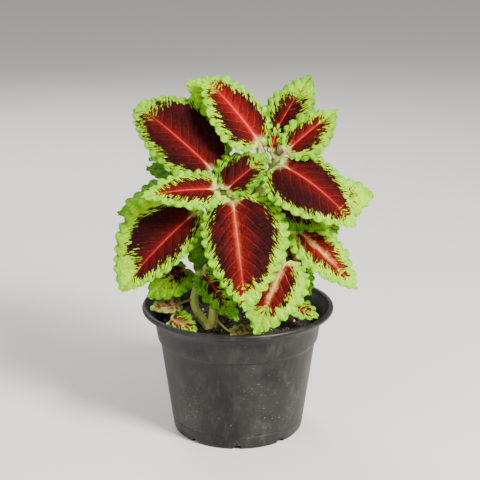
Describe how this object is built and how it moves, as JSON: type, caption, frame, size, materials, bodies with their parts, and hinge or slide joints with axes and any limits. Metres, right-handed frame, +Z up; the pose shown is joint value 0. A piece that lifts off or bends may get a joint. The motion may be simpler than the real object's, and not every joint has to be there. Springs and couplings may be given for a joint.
{
  "type": "potted coleus",
  "caption": "Leafy house plant with dark red leaves and green scalloped edges, growing in soil in a round black plastic nursery pot.",
  "frame": {"origin": "centre of the pot's flat underside", "axes": "+Z up along the pot's axis, -Y towards the front of the plant, +X to the right"},
  "size_m": [0.1722, 0.1342, 0.2386],
  "materials": {
    "pot": "satin black plastic with pale mineral dust",
    "soil": "moist dark potting mix with bark crumbs and white perlite",
    "stem": "fleshy pale green stem",
    "leaf_red": "dark red leaf with a feathered lime green edge",
    "leaf_green": "mostly green leaf with a dark red centre",
    "leaf_withered": "dry tan leaf"
  },
  "bodies": {
    "root": {"pot": "pot", "soil": "soil", "stem": "stem", "leaf_left_upper": "leaf_red", "leaf_crown_left": "leaf_red", "leaf_crown_rear": "leaf_red", "leaf_crown_shaded": "leaf_green", "leaf_crown_right": "leaf_red", "leaf_right_upper": "leaf_red", "leaf_centre_small": "leaf_red", "leaf_right_large": "leaf_red", "leaf_right_rear": "leaf_red", "leaf_front_large": "leaf_red", "leaf_front_low": "leaf_red", "leaf_right_low": "leaf_red", "leaf_right_inner": "leaf_red", "leaf_right_under": "leaf_red", "leaf_pot_right": "leaf_red", "leaf_left_small": "leaf_red", "leaf_left_large": "leaf_red", "leaf_left_rear": "leaf_green", "leaf_left_tucked": "leaf_green", "leaf_centre_shaded": "leaf_green", "leaf_low_dark": "leaf_green", "leaf_low_left": "leaf_green", "leaf_wilted": "leaf_withered", "leaf_pot_left": "leaf_red", "leaf_dry": "leaf_withered", "leaf_crown_young": "leaf_red", "leaf_back_crown": "leaf_red", "leaf_back_high": "leaf_red", "leaf_back_left": "leaf_red", "leaf_back_middle": "leaf_red", "leaf_back_right": "leaf_red", "leaf_back_low_left": "leaf_red", "leaf_back_low": "leaf_red", "leaf_back_low_right": "leaf_red", "leaf_inner_shaded": "leaf_green", "bud_left": "stem", "bud_right": "stem"}
  },
  "joints": []
}
